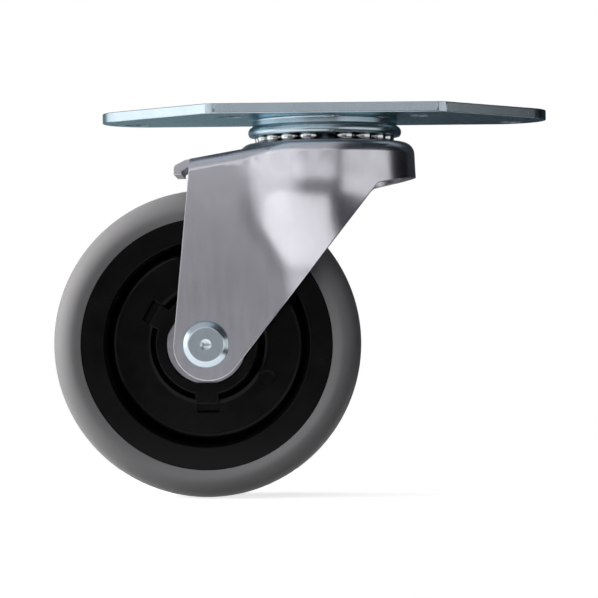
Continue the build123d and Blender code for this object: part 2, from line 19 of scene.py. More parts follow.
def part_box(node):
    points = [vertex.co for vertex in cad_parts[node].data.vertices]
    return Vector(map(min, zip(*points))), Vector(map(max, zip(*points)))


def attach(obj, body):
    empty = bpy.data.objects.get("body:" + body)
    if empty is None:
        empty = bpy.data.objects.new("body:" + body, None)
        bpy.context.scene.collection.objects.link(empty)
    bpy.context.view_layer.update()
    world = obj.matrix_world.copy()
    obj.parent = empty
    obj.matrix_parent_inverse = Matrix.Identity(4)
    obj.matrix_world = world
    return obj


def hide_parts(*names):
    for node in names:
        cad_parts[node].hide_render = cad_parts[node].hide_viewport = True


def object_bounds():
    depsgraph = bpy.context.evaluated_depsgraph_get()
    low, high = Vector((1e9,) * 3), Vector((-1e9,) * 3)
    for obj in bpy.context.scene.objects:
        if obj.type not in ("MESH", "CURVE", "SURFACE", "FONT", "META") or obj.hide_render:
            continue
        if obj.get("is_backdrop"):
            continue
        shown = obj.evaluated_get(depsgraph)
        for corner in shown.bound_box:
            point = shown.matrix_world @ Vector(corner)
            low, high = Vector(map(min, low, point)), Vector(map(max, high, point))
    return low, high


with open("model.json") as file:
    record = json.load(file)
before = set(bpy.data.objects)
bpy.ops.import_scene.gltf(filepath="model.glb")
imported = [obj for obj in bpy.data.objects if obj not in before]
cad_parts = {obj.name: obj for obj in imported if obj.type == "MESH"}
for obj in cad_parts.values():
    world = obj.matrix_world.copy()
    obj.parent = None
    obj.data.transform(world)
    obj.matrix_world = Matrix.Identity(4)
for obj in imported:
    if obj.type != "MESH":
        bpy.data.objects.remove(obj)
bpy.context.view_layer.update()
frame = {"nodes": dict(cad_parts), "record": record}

bl_info = {
    "name": "Swivel castor",
    "version": (1, 0, 0),
    "blender": (4, 5, 0),
    "location": "3D View > Sidebar > Castor",
    "description": "Dresses the swivel castor's solids and sets up its studio",
    "category": "Object",
}

SCENE = bpy.context.scene
MM = 0.001
WHITE = (1, 1, 1)

# How near and how alike a mesh's corners, edges and normals have to be
SEAM = 0.002 * MM  # corners this near each other are one corner
ON_SURFACE = 0.004 * MM  # a corner this near the CAD's surface lies on it
FLAT_DEGREES = 0.02  # an edge that turns by less isn't needed
HARD_DEGREES = 28  # an edge that turns by more stays sharp
MOST_HALVINGS = 4  # of a long edge
SAME_SIDE = 0.7  # least cosine between normals that are evened out together

# The plate's near corners, in plan
CORNER_TURN = 45  # degrees between the near edge and a side edge
CORNER_STEPS = 10

# Drawing evens out the fork's flare ahead of this x and below this z, with a soft start
# over these lengths
FLARE_X, FLARE_START_X = -36 * MM, 10 * MM
FLARE_Z, FLARE_START_Z = -17 * MM, 4 * MM

# The floor in plan and the black flag at the right, in metres
FLOOR_PLAN = ((-0.45, -0.3), (0.01, -0.3), (0.05, 0.0), (0.25, 0.12), (-0.45, 0.12))
FLAG_CORNERS = (
    (0.6, 0.03, -0.4),
    (0.6, 0.45, -0.4),
    (0.6, 0.45, 0.9),
    (0.6, 0.03, 0.9),
)

# Each lamp's name and the setting for its level, then its turn from the lens and its
# rise in degrees, its distance, width and height in metres, the share of its size that
# one fading step takes off, and whether matt surfaces and metal see it
LAMPS = (
    ("left key", "key_level", -92, -4, 0.8, 0.8, 1.4, 0.1, True, False),
    ("left soft box", "left_level", -103, 0, 0.8, 0.75, 1.1, 0.15, True, True),
    ("front soft box", "front_level", -61, -2, 1.0, 1.3, 1.3, 0.25, True, True),
    ("strip light", "strip_level", -12, 14, 1.0, 1.1, 0.3, 0.1, True, True),
    ("right card", "right_level", 55, 0, 1.0, 1.4, 0.6, 0.05, False, True),
)
LAMPS_FACE = (-0.02, 0, -0.06)
LAMP_SHEETS = 3
SHEET_GAP = 0.01  # a mirrored ray counts only one of two sheets that lie in one plane

# Where the room's walls change: an axis of the direction, and the part of it over which
# the change grows from none to all
TO_CEILING = ("Z", 0.02, 0.2)
TO_GROUND = ("Z", -0.22, -0.45)
TO_RIGHT = ("X", 0.02, 0.42)
TO_LEFT = ("X", -0.2, -0.7)
TO_BEYOND = ("Y", -0.1, 0.4)
STRAIGHT_ON = ("Y", 0.8, 0.95)
STRAIGHT_ON_LEFT = ("X", 0.07, -0.04)

# The camera's place in metres, and its turn about its own axis in degrees
CAMERA_X, CAMERA_Z = -0.0088, -0.061
CAMERA_ROLL = 0.53
SENSOR_MM = 36


# Sizes and colours


def linear(hex_colour):
    """The linear colour of an sRGB hex value."""
    parts = [int(hex_colour[i : i + 2], 16) / 255 for i in (1, 3, 5)]
    return [c / 12.92 if c <= 0.04045 else ((c + 0.055) / 1.055) ** 2.4 for c in parts]


def colour_property(name, description, hex_colour):
    """A colour swatch with its default written as sRGB hex."""
    return FloatVectorProperty(
        name=name,
        description=description,
        subtype="COLOR",
        size=3,
        min=0,
        max=1,
        default=linear(hex_colour),
    )


def length_property(name, description, millimetres):
    """A length in metres with its default written in millimetres."""
    return FloatProperty(
        name=name,
        description=description,
        subtype="DISTANCE",
        unit="LENGTH",
        precision=5,
        min=0,
        default=millimetres * MM,
    )


def count_property(name, description, count):
    """A whole number of things."""
    return IntProperty(name=name, description=description, default=count, min=1)


def angle_property(name, description, degrees):
    """An angle with its default written in degrees."""
    return FloatProperty(
        name=name,
        description=description,
        subtype="ANGLE",
        unit="ROTATION",
        default=radians(degrees),
    )


def level_property(name, description, level):
    """A brightness as the camera or a mirror sees it, where 1 is white."""
    return FloatProperty(name=name, description=description, default=level, min=0)


class CastorFinish(bpy.types.PropertyGroup):
    """Colours of the castor's metal, plastic and rubber."""

    fork: colour_property("Fork plating", "Bright zinc on the pressed fork", "#C8C7CD")
    plate: colour_property(
        "Plate plating", "Blue-passivated zinc on the plate", "#B4C1C8"
    )
    film: colour_property(
        "Passivate film", "What the film mirrors at a low angle", "#B0DCE8"
    )
    rivet: colour_property(
        "Rivet plating", "Blue-passivated zinc on the axle rivet", "#C4CFD6"
    )
    balls: colour_property("Balls", "Polished bearing steel", "#C8C8C6")
    rings: colour_property("Bearing rings", "Ground bearing steel", "#B9BABD")
    core: colour_property("Wheel core", "Black moulded nylon", "#030303")
    tyre: colour_property("Tyre", "Grey moulded rubber", "#908E8E")
    cage: colour_property("Ball cages", "Natural moulded nylon", "#B7AA8D")


class CastorSizes(bpy.types.PropertyGroup):
    """Sizes of what is added to the castor's solids."""

    edge_round: length_property(
        "Edge rounding", "Rounding of the fork's and the rivet's edges", 0.45
    )
    plate_round: length_property(
        "Plate rounding", "Rounding of the plate's edges", 0.25
    )
    drawing_step: length_property("Sheet mesh", "Longest edge in the fork's mesh", 3)
    drawing_reach: length_property(
        "Drawing", "How far drawing evens out the fork's flare", 6
    )
    corner_radius: length_property(
        "Plate corners", "Radius of the near corners in plan", 5
    )
    plastic_round: length_property("Moulded rounding", "Rounding of moulded edges", 0.6)
    ball_rings: count_property("Ball rings", "Rings of faces on a ball", 24)
    upper_ball_count: count_property(
        "Upper balls", "Balls between the plate and the fork", 18
    )
    upper_ball_gap: angle_property(
        "Upper gap", "The one wider gap in the upper row", 33.6
    )
    upper_gap_turn: angle_property(
        "Gap's place", "The gap's middle, from the near side", 1.5
    )
    lower_ball_count: count_property(
        "Lower balls", "Balls between the fork and the lower cup", 16
    )


class StudioSettings(bpy.types.PropertyGroup):
    """Camera and light of the studio."""

    focal_length: FloatProperty(
        name="Focal length",
        description="Lens on a 36 mm wide sensor",
        subtype="DISTANCE_CAMERA",
        default=145.0,
    )
    camera_distance: length_property(
        "Camera distance", "From the swivel axis to the lens", 780
    )
    key_level: level_property("Left key", "The key light that matt surfaces take", 5.0)
    left_level: level_property("Left soft box", "The strong soft box at the left", 1.4)
    front_level: level_property(
        "Front soft box", "The tall soft box at the front left", 0.74
    )
    strip_level: level_property("Strip light", "The strip light above the lens", 0.5)
    right_level: level_property(
        "Right card", "The card that metal mirrors at the right", 0.95
    )
    backdrop_in_metal: level_property(
        "Backdrop in metal", "The backdrop as metal mirrors it", 0.32
    )
    floor_glow: level_property(
        "Floor glow", "The floor's own white, for camera and metal", 0.75
    )
    room_high: colour_property(
        "Room above", "The ceiling and the walls above the lens", "#CDCED2"
    )
    room_low: colour_property(
        "Room below", "The walls at the lens and below it", "#8C8C90"
    )
    room_back: colour_property(
        "Room behind", "The walls beyond and at the right", "#34373C"
    )
    floor_colour: colour_property("Floor", "Pale floor and backdrop", "#F2F2F2")


# Helpers


def add_node(tree, kind, inputs=None, **settings):
    """Adds one node. Each of its inputs gets a value, or a link from another socket."""
    node = tree.nodes.new(kind)
    for name, value in settings.items():
        setattr(node, name, value)
    sockets = {}
    for socket in node.inputs:
        if socket.enabled and socket.name not in sockets:
            sockets[socket.name] = socket
    for name, value in (inputs or {}).items():
        socket = sockets[name] if name in sockets else node.inputs[name]
        if isinstance(value, bpy.types.NodeSocket):
            tree.links.new(value, socket)
        else:
            socket.default_value = value
    return node


def calculate(tree, operation, *terms):
    """The result of one arithmetic node, from numbers or other sockets."""
    inputs = dict(enumerate(terms))
    node = add_node(tree, "ShaderNodeMath", inputs, operation=operation)
    return node.outputs["Value"]


def spread(tree, value, low, high, start=0.0, end=1.0):
    """Maps a value that runs from start to end onto low to high."""
    node = add_node(
        tree,
        "ShaderNodeMapRange",
        {
            "Value": value,
            "From Min": start,
            "From Max": end,
            "To Min": low,
            "To Max": high,
        },
    )
    return node.outputs["Result"]


def noise(tree, place, size, detail, roughness=0.5):
    """Clouds or grains of a size in metres."""
    node = add_node(
        tree,
        "ShaderNodeTexNoise",
        {
            "Vector": place,
            "Scale": 1 / size,
            "Detail": detail,
            "Roughness": roughness,
        },
    )
    return node.outputs["Fac"]


def mix_colours(tree, factor, first, second, blend_type="MIX"):
    """Mixes two colours, or multiplies the first by the second."""
    node = add_node(
        tree,
        "ShaderNodeMix",
        {"Factor": factor, "A": first, "B": second},
        data_type="RGBA",
        blend_type=blend_type,
    )
    return node.outputs["Result"]


def new_material(name):
    """An empty node material, with its tree and its output node."""
    material = bpy.data.materials.new(name)
    material.use_nodes = True
    tree = material.node_tree
    tree.nodes.clear()
    return material, tree, add_node(tree, "ShaderNodeOutputMaterial")


def smooth_with_hard_edges(mesh):
    """Smooth shading that stays sharp at the hard edges."""
    mesh.shade_smooth()
    mesh.set_sharp_from_angle(angle=radians(HARD_DEGREES))


def reshaped_copy(node_name, name, reshape):
    """A seamless copy of a CAD node, changed by a function that gets its bmesh."""
    mesh = frame["nodes"][node_name].data.copy()
    mesh.name = name
    mesh.materials.clear()
    mesh.attributes.remove(mesh.attributes["custom_normal"])
    shape = bmesh.new()
    shape.from_mesh(mesh)
    bmesh.ops.remove_doubles(shape, verts=shape.verts, dist=SEAM)
    reshape(shape)
    bmesh.ops.triangulate(shape, faces=shape.faces)
    shape.to_mesh(mesh)
    shape.free()
    smooth_with_hard_edges(mesh)
    piece = bpy.data.objects.new(name, mesh)
    SCENE.collection.objects.link(piece)
    return piece


def rounded_edges(shape, rounding):
    """Bevels every hard edge of a turned part."""
    bmesh.ops.dissolve_limit(
        shape,
        angle_limit=radians(FLAT_DEGREES),
        verts=shape.verts,
        edges=shape.edges,
    )
    hard = [e for e in shape.edges if e.calc_face_angle(0) > radians(HARD_DEGREES)]
    bmesh.ops.bevel(
        shape, geom=hard, offset=rounding, segments=2, profile=0.5, affect="EDGES"
    )


def short_edges(shape, longest):
    """Halves long edges until none is longer than this."""
    for _ in range(MOST_HALVINGS):
        long_edges = [edge for edge in shape.edges if edge.calc_length() > longest]
        if not long_edges:
            return
        bmesh.ops.subdivide_edges(shape, edges=long_edges, cuts=1)
        bmesh.ops.triangulate(shape, faces=shape.faces)


def cad_normals(mesh, node_name, likeness):
    """The CAD's normal for each face corner that lies on the CAD's surface, where its
    cosine with the face's own normal is over the likeness, and else the mesh's own."""
    source = frame["nodes"][node_name].data
    surface = BVHTree.FromPolygons(
        [corner.co for corner in source.vertices],
        [face.vertices for face in source.polygons],
    )
    normals = [Vector(corner.vector) for corner in mesh.corner_normals]
    touching = [
        surface.find_nearest_range(corner.co, ON_SURFACE) for corner in mesh.vertices
    ]
    for face in mesh.polygons:
        for loop, vertex in zip(face.loop_indices, face.vertices):
            best = likeness
            for place, _, found, _ in touching[vertex]:
                triangle = source.polygons[found]
                normal = barycentric_transform(
                    place,
                    *(source.vertices[v].co for v in triangle.vertices),
                    *(source.corner_normals[c].vector for c in triangle.loop_indices),
                ).normalized()
                if normal.dot(face.normal) > best:
                    best = normal.dot(face.normal)
                    normals[loop] = normal
    return normals


def drawn_normals(mesh, normals, reach):
    """Evens the normals out over a distance, as drawing a sheet over a punch does. The
    reach function gives that distance for a place, or 0 where the normals stay."""
    centres = KDTree(len(mesh.polygons))
    for face in mesh.polygons:
        centres.insert(face.center, face.index)
    centres.balance()
    middles = numpy.array([face.center for face in mesh.polygons])
    areas = numpy.array([face.area for face in mesh.polygons])
    facing = numpy.array(
        [
            sum((normals[loop] for loop in face.loop_indices), Vector()).normalized()
            for face in mesh.polygons
        ]
    )
    # Face corners at one vertex that face nearly the same way share one result
    done = {}
    for face in mesh.polygons:
        for loop, vertex in zip(face.loop_indices, face.vertices):
            place = mesh.vertices[vertex].co
            distance = reach(place)
            if distance < SEAM:
                continue
            key = (vertex, *(round(part, 1) for part in normals[loop]))
            if key not in done:
                near = [found for _, found, _ in centres.find_range(place, distance)]
                near = numpy.array(near, dtype=int)
                offsets = middles[near] - numpy.array(place)
                away = numpy.linalg.norm(offsets, axis=1) / distance
                alike = facing[near] @ numpy.array(normals[loop])
                weights = areas[near] * (1 - away**2) ** 2 * (alike > SAME_SIDE)
                total = Vector((facing[near] * weights[:, None]).sum(axis=0))
                done[key] = total.normalized() if weights.sum() else normals[loop]
            normals[loop] = done[key]
    return normals


def dress(piece, material, node_name):
    """Gives a piece its material, and puts it in the place of its CAD node."""
    record = frame["record"]
    bodies = {
        name: body
        for body, names in record["behaviour"]["bodies"].items()
        for name in names
    }
    piece.data.materials.clear()
    piece.data.materials.append(material)
    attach(piece, bodies[node_name])
    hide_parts(node_name)


def paint_node(node_name, material):
    """Gives a CAD node that stays as it is a better material."""
    mesh = frame["nodes"][node_name].data
    mesh.materials.clear()
    mesh.materials.append(material)


# Materials


def soft_edges(tree, rounding):
    """The normal input that rounds the shading of hard edges, or none for 0."""
    if not rounding:
        return {}
    edges = add_node(tree, "ShaderNodeBevel", {"Radius": rounding}, samples=6)
    return {"Normal": edges.outputs["Normal"]}


def plated_steel(name, colour, edge_tint, roughness, grain, streak_mm, rounding):
    """Bright zinc plating on cold-rolled sheet. The zinc's fine crystals blur what it
    mirrors, the rolled sheet under it draws that out a little, and the colour clouds
    softly. Tumbling has taken the edges off."""
    cloud_mm, crystal_mm, relief_mm = 14, 0.55, 0.02
    streak_length, streak_share = 9, 0.15
    material, tree, output = new_material(name)
    place = add_node(tree, "ShaderNodeTexCoord").outputs["Object"]
    clouds = noise(tree, place, cloud_mm * MM, detail=4.0, roughness=0.6)
    crystals = noise(tree, place, crystal_mm * MM, detail=3.0, roughness=0.7)
    across, along = 1 / (streak_mm * MM), 1 / (streak_length * streak_mm * MM)
    # The mapping sets the streaks' size, so their noise has a size of 1
    drawn = add_node(
        tree, "ShaderNodeMapping", {"Vector": place, "Scale": (across, across, along)}
    ).outputs["Vector"]
    streaks = noise(tree, drawn, 1.0, detail=5.0, roughness=0.65)
    shade = spread(tree, clouds, 0.94, 1.04, 0.3, 0.7)
    tint = mix_colours(tree, 1.0, (*colour, 1), shade, "MULTIPLY")
    rough = spread(tree, streaks, roughness - 0.02, roughness + 0.02, 0.25, 0.75)
    bump = add_node(
        tree,
        "ShaderNodeBump",
        {
            "Height": calculate(tree, "MULTIPLY_ADD", streaks, streak_share, crystals),
            "Strength": grain,
            "Distance": relief_mm * MM,
            **soft_edges(tree, rounding),
        },
    )
    shader = add_node(
        tree,
        "ShaderNodeBsdfPrincipled",
        {
            "Metallic": 1.0,
            "Specular Tint": (*edge_tint, 1),
            "Base Color": tint,
            "Roughness": rough,
            "Normal": bump.outputs["Normal"],
        },
    )
    tree.links.new(shader.outputs["BSDF"], output.inputs["Surface"])
    return material


def turned_steel(name, colour, roughness):
    """Ground or polished bearing steel: a clean mirror with a faint grinding haze."""
    haze_mm = 1.5
    material, tree, output = new_material(name)
    place = add_node(tree, "ShaderNodeTexCoord").outputs["Object"]
    haze = noise(tree, place, haze_mm * MM, detail=3.0)
    shader = add_node(
        tree,
        "ShaderNodeBsdfPrincipled",
        {
            "Metallic": 1.0,
            "Base Color": (*colour, 1),
            "Roughness": spread(tree, haze, roughness * 0.8, roughness * 1.3),
        },
    )
    tree.links.new(shader.outputs["BSDF"], output.inputs["Surface"])
    return material


def moulded_plastic(name, colour, roughness, gloss, grain_mm, depth_mm, rounding):
    """Injection-moulded nylon: a satin skin with the mould's fine grain, soft flow
    marks and the round edges that a mould leaves."""
    flow_mm = 9
    material, tree, output = new_material(name)
    place = add_node(tree, "ShaderNodeTexCoord").outputs["Object"]
    flow = noise(tree, place, flow_mm * MM, detail=4.0)
    bump = add_node(
        tree,
        "ShaderNodeBump",
        {
            "Height": noise(tree, place, grain_mm * MM, detail=2.0),
            "Strength": 0.5,
            "Distance": depth_mm * MM,
            **soft_edges(tree, rounding),
        },
    )
    shader = add_node(
        tree,
        "ShaderNodeBsdfPrincipled",
        {
            "Base Color": (*colour, 1),
            "IOR": 1.53,
            "Specular IOR Level": gloss,
            "Roughness": spread(
                tree, flow, roughness - 0.05, roughness + 0.08, 0.3, 0.7
            ),
            "Normal": bump.outputs["Normal"],
        },
    )
    tree.links.new(shader.outputs["BSDF"], output.inputs["Surface"])
    return material


def moulded_rubber(name, colour):
    """Moulded grey rubber: dull and even, with a fine dusty bloom and a soft sheen."""
    bloom_mm, skin_mm, relief_mm = 11, 0.5, 0.03
    material, tree, output = new_material(name)
    place = add_node(tree, "ShaderNodeTexCoord").outputs["Object"]
    bloom = noise(tree, place, bloom_mm * MM, detail=5.0, roughness=0.6)
    skin = noise(tree, place, skin_mm * MM, detail=3.0, roughness=0.6)
    shade = spread(tree, bloom, 0.96, 1.03, 0.3, 0.7)
    bump = add_node(
        tree,
        "ShaderNodeBump",
        {"Height": skin, "Strength": 0.35, "Distance": relief_mm * MM},
    )
    shader = add_node(
        tree,
        "ShaderNodeBsdfPrincipled",
        {
            "Base Color": mix_colours(tree, 1.0, (*colour, 1), shade, "MULTIPLY"),
            "Roughness": 0.62,
            "IOR": 1.52,
            "Sheen Weight": 0.08,
            "Sheen Roughness": 0.4,
            "Normal": bump.outputs["Normal"],
        },
    )
    tree.links.new(shader.outputs["BSDF"], output.inputs["Surface"])
    return material


def black_velvet(name):
    """A studio flag's black velvet: it gives back almost nothing."""
    material, tree, output = new_material(name)
    colour = (*linear("#0D0D10"), 1)
    velvet = add_node(tree, "ShaderNodeBsdfDiffuse", {"Color": colour})
    tree.links.new(velvet.outputs["BSDF"], output.inputs["Surface"])
    return material


# Geometry Nodes: a ring of balls


def ball_ring_tree(name, material):
    """A tree that sets balls at equal steps round a circle."""
    tree = bpy.data.node_groups.new(name, "GeometryNodeTree")
    face = tree.interface
    face.new_socket("Geometry", in_out="INPUT", socket_type="NodeSocketGeometry")
    for label, kind in (
        ("Pitch Radius", "NodeSocketFloat"),
        ("Ball Radius", "NodeSocketFloat"),
        ("Count", "NodeSocketInt"),
        ("Rings", "NodeSocketInt"),
        ("Height", "NodeSocketFloat"),
        ("First Angle", "NodeSocketFloat"),
        ("Step", "NodeSocketFloat"),
    ):
        face.new_socket(label, in_out="INPUT", socket_type=kind)
    face.new_socket("Geometry", in_out="OUTPUT", socket_type="NodeSocketGeometry")
    given = add_node(tree, "NodeGroupInput").outputs
    index = add_node(tree, "GeometryNodeInputIndex").outputs["Index"]
    angle = calculate(tree, "MULTIPLY_ADD", index, given["Step"], given["First Angle"])
    across, along = (
        calculate(tree, "MULTIPLY", calculate(tree, part, angle), given["Pitch Radius"])
        for part in ("COSINE", "SINE")
    )
    place = add_node(
        tree, "ShaderNodeCombineXYZ", {"X": across, "Y": along, "Z": given["Height"]}
    )
    points = add_node(
        tree,
        "GeometryNodePoints",
        {"Count": given["Count"], "Position": place.outputs["Vector"]},
    )
    ball = add_node(
        tree,
        "GeometryNodeMeshUVSphere",
        {
            "Segments": calculate(tree, "MULTIPLY", given["Rings"], 2.0),
            "Rings": given["Rings"],
            "Radius": given["Ball Radius"],
        },
    )
    smooth = add_node(
        tree, "GeometryNodeSetShadeSmooth", {"Geometry": ball.outputs["Mesh"]}
    )
    row = add_node(
        tree,
        "GeometryNodeInstanceOnPoints",
        {
            "Points": points.outputs["Points"],
            "Instance": smooth.outputs["Geometry"],
        },
    )
    real = add_node(
        tree, "GeometryNodeRealizeInstances", {"Geometry": row.outputs["Instances"]}
    )
    coated = add_node(
        tree,
        "GeometryNodeSetMaterial",
        {"Geometry": real.outputs["Geometry"], "Material": material},
    )
    add_node(tree, "NodeGroupOutput", {"Geometry": coated.outputs["Geometry"]})
    return tree


def made_by_tree(name, tree, inputs):
    """Runs a Geometry Nodes tree and keeps its result as a plain mesh."""
    seed = bpy.data.objects.new(name, bpy.data.meshes.new(name + "_seed"))
    SCENE.collection.objects.link(seed)
    modifier = seed.modifiers.new("Nodes", "NODES")
    modifier.node_group = tree
    for socket in tree.interface.items_tree:
        if socket.in_out == "INPUT" and socket.name in inputs:
            modifier[socket.identifier] = inputs[socket.name]
    depsgraph = bpy.context.evaluated_depsgraph_get()
    mesh = bpy.data.meshes.new_from_object(seed.evaluated_get(depsgraph))
    seed.modifiers.remove(modifier)
    seed.data = mesh
    mesh.name = name
    return seed


# Operators


class CASTOR_OT_plate(bpy.types.Operator):
    """Dress the mounting plate, the kingpin and the lower cup"""

    bl_idname = "castor.plate"
    bl_label = "Plate"

    def execute(self, context):
        finish = context.scene.castor_finish
        sizes = context.scene.castor_sizes
        plating = plated_steel(
            "blue_zinc_plated_plate",
            finish.plate,
            finish.film,
            roughness=0.26,
            grain=0.1,
            streak_mm=1.2,
            rounding=sizes.plate_round,
        )
        piece = reshaped_copy("top_plate", "plate", lambda shape: None)
        self.cut_corners(piece, sizes.corner_radius)
        normals = cad_normals(piece.data, "top_plate", likeness=0.9)
        piece.data.normals_split_custom_set(normals)
        dress(piece, plating, "top_plate")
        for node_name in ("kingpin", "lower_race"):
            paint_node(node_name, plating)
        return {"FINISHED"}

    def cut_corners(self, piece, radius):
        """Rounds both ends of the plate's near edge in plan."""
        low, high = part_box("top_plate")
        ends = [v.co.x for v in piece.data.vertices if v.co.y < low.y + SEAM]
        for side, end in ((-1, min(ends)), (1, max(ends))):
            plan = self.corner_plan(side, Vector((end, low.y)), radius)
            cutter = self.prism(plan, low.z - radius, high.z + radius)
            cut = piece.modifiers.new("Corner", "BOOLEAN")
            cut.operation = "DIFFERENCE"
            cut.solver = "EXACT"
            cut.object = cutter
            depsgraph = bpy.context.evaluated_depsgraph_get()
            result = bpy.data.meshes.new_from_object(piece.evaluated_get(depsgraph))
            piece.modifiers.remove(cut)
            piece.data = result
            bpy.data.objects.remove(cutter)
        smooth_with_hard_edges(piece.data)

    def corner_plan(self, side, corner, radius):
        """The plan of what is cut off: a point outside the corner, and the arc."""

        def outwards(angle):
            """Turns from the near edge's outward direction towards this side."""
            return Vector((side * sin(angle), -cos(angle)))

        turn = radians(CORNER_TURN)
        cut_back = radius * tan(turn / 2)
        middle = Vector((corner.x - side * cut_back, corner.y + radius))
        arc = [
            middle + radius * outwards(turn * step / CORNER_STEPS)
            for step in range(CORNER_STEPS + 1)
        ]
        return [corner + outwards(turn / 2) * radius, *arc]

    def prism(self, plan, low_z, high_z):
        """An upright solid with this plan."""
        corners = [(*at, z) for z in (low_z, high_z) for at in plan]
        count = len(plan)
        ends = [range(count), range(count, 2 * count)]
        sides = [
            (i, (i + 1) % count, (i + 1) % count + count, i + count)
            for i in range(count)
        ]
        mesh = bpy.data.meshes.new("corner_cutter")
        mesh.from_pydata(corners, [], [*ends, *sides])
        shape = bmesh.new()
        shape.from_mesh(mesh)
        bmesh.ops.recalc_face_normals(shape, faces=shape.faces)
        shape.to_mesh(mesh)
        shape.free()
        cutter = bpy.data.objects.new("corner_cutter", mesh)
        SCENE.collection.objects.link(cutter)
        return cutter


class CASTOR_OT_swivel_balls(bpy.types.Operator):
    """Set both rows of swivel balls"""

    bl_idname = "castor.swivel_balls"
    bl_label = "Swivel balls"

    def execute(self, context):
        finish = context.scene.castor_finish
        sizes = context.scene.castor_sizes
        steel = turned_steel("polished_ball_steel", finish.balls, roughness=0.12)
        tree = ball_ring_tree("Ball row", steel)
        near_side = -pi / 2
        upper_step = (2 * pi - sizes.upper_ball_gap) / (sizes.upper_ball_count - 1)
        upper_first = near_side + sizes.upper_gap_turn + sizes.upper_ball_gap / 2
        lower_step = 2 * pi / sizes.lower_ball_count
        for node_name, count, first, step in (
            ("upper_balls", sizes.upper_ball_count, upper_first, upper_step),
            ("lower_balls", sizes.lower_ball_count, near_side, lower_step),
        ):
            low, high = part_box(node_name)
            ball_radius = (high.z - low.z) / 2
            corners = frame["nodes"][node_name].data.vertices
            furthest = max(corner.co.xy.length for corner in corners)
            piece = made_by_tree(
                node_name + "_polished",
                tree,
                {
                    "Pitch Radius": furthest - ball_radius,
                    "Ball Radius": ball_radius,
                    "Count": count,
                    "Rings": sizes.ball_rings,
                    "Height": (low.z + high.z) / 2,
                    "First Angle": first,
                    "Step": step,
                },
            )
            dress(piece, steel, node_name)
        return {"FINISHED"}


class CASTOR_OT_fork(bpy.types.Operator):
    """Dress the pressed fork"""

    bl_idname = "castor.fork"
    bl_label = "Fork"

    def execute(self, context):
        finish = context.scene.castor_finish
        sizes = context.scene.castor_sizes
        plating = plated_steel(
            "bright_zinc_plated_fork",
            finish.fork,
            WHITE,
            roughness=0.23,
            grain=0.08,
            streak_mm=1.6,
            rounding=sizes.edge_round,
        )
        piece = reshaped_copy(
            "fork", "fork_plated", lambda shape: short_edges(shape, sizes.drawing_step)
        )

        def reach(place):
            """Full reach on the flare under the crown, none on roof and flat legs."""
            ahead = min(max((place.x - FLARE_X) / FLARE_START_X, 0), 1)
            below = min(max((FLARE_Z - place.z) / FLARE_START_Z, 0), 1)
            return sizes.drawing_reach * ahead * below

        normals = cad_normals(piece.data, "fork", likeness=0.97)
        normals = drawn_normals(piece.data, normals, reach)
        piece.data.normals_split_custom_set(normals)
        dress(piece, plating, "fork")
        return {"FINISHED"}


class CASTOR_OT_axle(bpy.types.Operator):
    """Dress the axle rivet and its distance tube"""

    bl_idname = "castor.axle"
    bl_label = "Axle"

    def execute(self, context):
        finish = context.scene.castor_finish
        sizes = context.scene.castor_sizes
        plating = plated_steel(
            "blue_zinc_plated_rivet",
            finish.rivet,
            finish.film,
            roughness=0.24,
            grain=0.08,
            streak_mm=0.9,
            rounding=0,
        )
        piece = reshaped_copy(
            "axle_rivet",
            "axle_rivet_plated",
            lambda shape: rounded_edges(shape, sizes.edge_round),
        )
        normals = cad_normals(piece.data, "axle_rivet", likeness=0.8)
        piece.data.normals_split_custom_set(normals)
        dress(piece, plating, "axle_rivet")
        paint_node("distance_tube", plating)
        return {"FINISHED"}


class CASTOR_OT_core(bpy.types.Operator):
    """Dress the moulded wheel core"""

    bl_idname = "castor.core"
    bl_label = "Wheel core"

    def execute(self, context):
        finish = context.scene.castor_finish
        nylon = moulded_plastic(
            "moulded_black_nylon",
            finish.core,
            roughness=0.2,
            gloss=0.13,
            grain_mm=0.35,
            depth_mm=0.006,
            rounding=context.scene.castor_sizes.plastic_round,
        )
        paint_node("wheel_core", nylon)
        return {"FINISHED"}


class CASTOR_OT_tyre(bpy.types.Operator):
    """Dress the tyre"""

    bl_idname = "castor.tyre"
    bl_label = "Tyre"

    def execute(self, context):
        finish = context.scene.castor_finish
        paint_node("tyre", moulded_rubber("moulded_grey_rubber", finish.tyre))
        return {"FINISHED"}


class CASTOR_OT_bearings(bpy.types.Operator):
    """Dress the two hub bearings"""

    bl_idname = "castor.bearings"
    bl_label = "Hub bearings"

    def execute(self, context):
        finish = context.scene.castor_finish
        rings = turned_steel("ground_ring_steel", finish.rings, roughness=0.2)
        shields = turned_steel("pressed_shield_steel", finish.rings, roughness=0.3)
        cages = moulded_plastic(
            "moulded_natural_nylon",
            finish.cage,
            roughness=0.45,
            gloss=0.5,
            grain_mm=0.5,
            depth_mm=0.01,
            rounding=0,
        )
        balls = bpy.data.materials["polished_ball_steel"]
        for side in ("near", "far"):
            paint_node(side + "_bearing_inner_ring", rings)
            paint_node(side + "_bearing_outer_ring", rings)
            paint_node(side + "_bearing_shield", shields)
            paint_node(side + "_bearing_cage", cages)
            paint_node(side + "_bearing_balls", balls)
        return {"FINISHED"}


